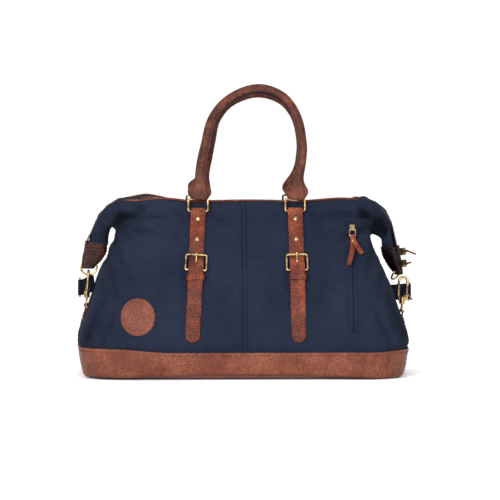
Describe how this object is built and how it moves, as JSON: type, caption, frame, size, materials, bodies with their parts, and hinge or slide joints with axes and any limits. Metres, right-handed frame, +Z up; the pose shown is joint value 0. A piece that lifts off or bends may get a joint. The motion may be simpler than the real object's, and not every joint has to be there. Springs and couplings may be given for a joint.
{
  "type": "weekender bag",
  "caption": "Soft canvas weekender bag with a leather base, rolled leather handles on buckled straps, and a zip top whose folded ends clip to the sides.",
  "frame": {"origin": "centre of the base's underside", "axes": "+X to the viewer's right along the bag, front panel towards -Y, +Z up"},
  "size_m": [0.5072, 0.2428, 0.433],
  "materials": {
    "canvas": "heavy woven cotton, matt",
    "leather": "pebbled, soft sheen",
    "webbing": "tight woven tape",
    "lining": "plain cotton",
    "board": "matt",
    "rope": "twisted cotton",
    "zip_teeth": "antique brass",
    "antique_brass": "antique brass, worn bright on edges"
  },
  "bodies": {
    "root": {"base_leather": "leather", "base_board": "board", "front_canvas_left": "canvas", "front_canvas_right": "canvas", "back_canvas_left": "canvas", "back_canvas_right": "canvas", "gusset_left": "canvas", "gusset_right": "canvas", "lining": "lining", "wing_left": "canvas", "wing_end_left": "leather", "wing_right": "canvas", "wing_end_right": "leather", "hook_tabs": "leather", "side_loops": "webbing", "front_strap_left": "leather", "front_strap_right": "leather", "back_strap_left": "leather", "back_strap_right": "leather", "heel_tabs": "leather", "strap_keepers": "leather", "strap_rivets": "antique_brass", "buckle_frames": "antique_brass", "piping_front": "leather", "piping_back": "leather", "main_zip_tapes": "webbing", "main_zip_chain": "zip_teeth", "pocket_welts": "canvas", "pocket_zip": "zip_teeth", "pocket_pouch": "lining", "round_patch": "leather"},
    "front_rings": {"front_ring_left": "antique_brass", "front_ring_right": "antique_brass"},
    "front_handle": {"front_handle_cover": "leather", "front_handle_core": "rope"},
    "back_rings": {"back_ring_left": "antique_brass", "back_ring_right": "antique_brass"},
    "back_handle": {"back_handle_cover": "leather", "back_handle_core": "rope"},
    "front_prong_left": {"front_prong_left": "antique_brass"},
    "front_prong_right": {"front_prong_right": "antique_brass"},
    "back_prong_left": {"back_prong_left": "antique_brass"},
    "back_prong_right": {"back_prong_right": "antique_brass"},
    "wing_dee_left": {"wing_dee_left": "antique_brass"},
    "swivel_eye_left": {"swivel_eye_left": "antique_brass"},
    "snap_hook_left": {"snap_hook_left": "antique_brass"},
    "hook_trigger_left": {"hook_trigger_left": "antique_brass"},
    "side_ring_left": {"side_ring_left": "antique_brass"},
    "wing_dee_right": {"wing_dee_right": "antique_brass"},
    "swivel_eye_right": {"swivel_eye_right": "antique_brass"},
    "snap_hook_right": {"snap_hook_right": "antique_brass"},
    "hook_trigger_right": {"hook_trigger_right": "antique_brass"},
    "side_ring_right": {"side_ring_right": "antique_brass"},
    "main_slider_upper": {"main_slider_upper": "antique_brass"},
    "main_pull_upper": {"main_pull_upper": "leather"},
    "main_slider_lower": {"main_slider_lower": "antique_brass"},
    "main_pull_lower": {"main_pull_lower": "leather"},
    "pocket_slider": {"pocket_slider": "antique_brass"},
    "pocket_pull": {"pocket_pull_ring": "antique_brass", "pocket_pull": "leather"}
  },
  "joints": [
    {"name": "front_rings_swing", "type": "hinge", "parent": "root", "child": "front_rings", "pos_m": [0, -0.05239, 0.24785], "axis": [1, 0, 0], "range_deg": [0, 90]},
    {"name": "front_handle_swing", "type": "hinge", "parent": "front_rings", "child": "front_handle", "pos_m": [0, -0.04765, 0.26552], "axis": [1, 0, 0], "range_deg": [0, 65]},
    {"name": "back_rings_swing", "type": "hinge", "parent": "root", "child": "back_rings", "pos_m": [0, 0.05239, 0.24785], "axis": [-1, 0, 0], "range_deg": [0, 90]},
    {"name": "back_handle_swing", "type": "hinge", "parent": "back_rings", "child": "back_handle", "pos_m": [0, 0.04765, 0.26552], "axis": [-1, 0, 0], "range_deg": [0, 65]},
    {"name": "front_prong_left_lift", "type": "hinge", "parent": "root", "child": "front_prong_left", "pos_m": [-0.07295, -0.09794, 0.16303], "axis": [0.9983, -0.0226, -0.0535], "range_deg": [0, 75]},
    {"name": "front_prong_right_lift", "type": "hinge", "parent": "root", "child": "front_prong_right", "pos_m": [0.07835, -0.09795, 0.16301], "axis": [0.9999, 0.0062, 0.0146], "range_deg": [0, 75]},
    {"name": "back_prong_left_lift", "type": "hinge", "parent": "root", "child": "back_prong_left", "pos_m": [-0.07295, 0.09794, 0.16303], "axis": [-0.9983, -0.0226, 0.0535], "range_deg": [0, 75]},
    {"name": "back_prong_right_lift", "type": "hinge", "parent": "root", "child": "back_prong_right", "pos_m": [0.07835, 0.09795, 0.16301], "axis": [-0.9999, 0.0062, -0.0146], "range_deg": [0, 75]},
    {"name": "wing_dee_left_swing", "type": "hinge", "parent": "root", "child": "wing_dee_left", "pos_m": [-0.2305, 0, 0.1639], "axis": [1, 0, 0], "range_deg": [-8, 8]},
    {"name": "swivel_eye_left_swing", "type": "hinge", "parent": "root", "child": "swivel_eye_left", "pos_m": [-0.2346, 0, 0.104], "axis": [0, 1, 0], "range_deg": [-2.5, 2.5]},
    {"name": "snap_hook_left_swivel", "type": "hinge", "parent": "swivel_eye_left", "child": "snap_hook_left", "pos_m": [-0.2346, 0, 0.104], "axis": [0.0698, 0, 0.9976], "range_deg": [-25, 25]},
    {"name": "hook_trigger_left_open", "type": "hinge", "parent": "snap_hook_left", "child": "hook_trigger_left", "pos_m": [-0.23301, 0.0058, 0.12674], "axis": [0.9976, 0, -0.0698], "range_deg": [0, 22], "stiffness_Nm_per_rad": 0.02},
    {"name": "side_ring_left_swing", "type": "hinge", "parent": "root", "child": "side_ring_left", "pos_m": [-0.2435, 0.033, 0.128], "axis": [0, 0, 1], "range_deg": [0, 150]},
    {"name": "wing_dee_right_swing", "type": "hinge", "parent": "root", "child": "wing_dee_right", "pos_m": [0.2335, 0, 0.1534], "axis": [0.5, 0.866, 0], "range_deg": [-8, 8]},
    {"name": "swivel_eye_right_swing", "type": "hinge", "parent": "root", "child": "swivel_eye_right", "pos_m": [0.2386, -0.003, 0.0935], "axis": [0, -1, 0], "range_deg": [-2.5, 2.5]},
    {"name": "snap_hook_right_swivel", "type": "hinge", "parent": "swivel_eye_right", "child": "snap_hook_right", "pos_m": [0.2386, -0.003, 0.0935], "axis": [0.0593, 0, 0.9982], "range_deg": [-10, 30]},
    {"name": "hook_trigger_right_open", "type": "hinge", "parent": "snap_hook_right", "child": "hook_trigger_right", "pos_m": [0.24574, -0.003, 0.11592], "axis": [0, -1, 0], "range_deg": [0, 22], "stiffness_Nm_per_rad": 0.02},
    {"name": "side_ring_right_swing", "type": "hinge", "parent": "root", "child": "side_ring_right", "pos_m": [0.252, 0.033, 0.121], "axis": [0, 0, 1], "range_deg": [-150, 0]},
    {"name": "main_slider_upper_slide", "type": "slide", "parent": "root", "child": "main_slider_upper", "axis": [-0.1097, 0.13, 0.9854], "range_m": [0, 0.006]},
    {"name": "main_pull_upper_swing", "type": "hinge", "parent": "main_slider_upper", "child": "main_pull_upper", "pos_m": [0.24406, -0.01503, 0.18489], "axis": [0.6229, 0.7816, -0.0338], "range_deg": [-15, 25]},
    {"name": "main_slider_lower_slide", "type": "slide", "parent": "root", "child": "main_slider_lower", "axis": [-0.0059, -0.0268, 0.9996], "range_m": [-0.002, 0]},
    {"name": "main_pull_lower_swing", "type": "hinge", "parent": "main_slider_lower", "child": "main_pull_lower", "pos_m": [0.24402, -0.01727, 0.16634], "axis": [0.7967, 0.6041, 0.0209], "range_deg": [-15, 25]},
    {"name": "pocket_slider_travel", "type": "hinge", "parent": "root", "child": "pocket_slider", "pos_m": [0, 0.2856, 0.014], "axis": [1, 0, 0], "range_deg": [0, 20.5]},
    {"name": "pocket_pull_swing", "type": "hinge", "parent": "pocket_slider", "child": "pocket_pull", "pos_m": [0.1615, -0.07089, 0.22098], "axis": [-1, 0, 0], "range_deg": [0, 100]}
  ]
}
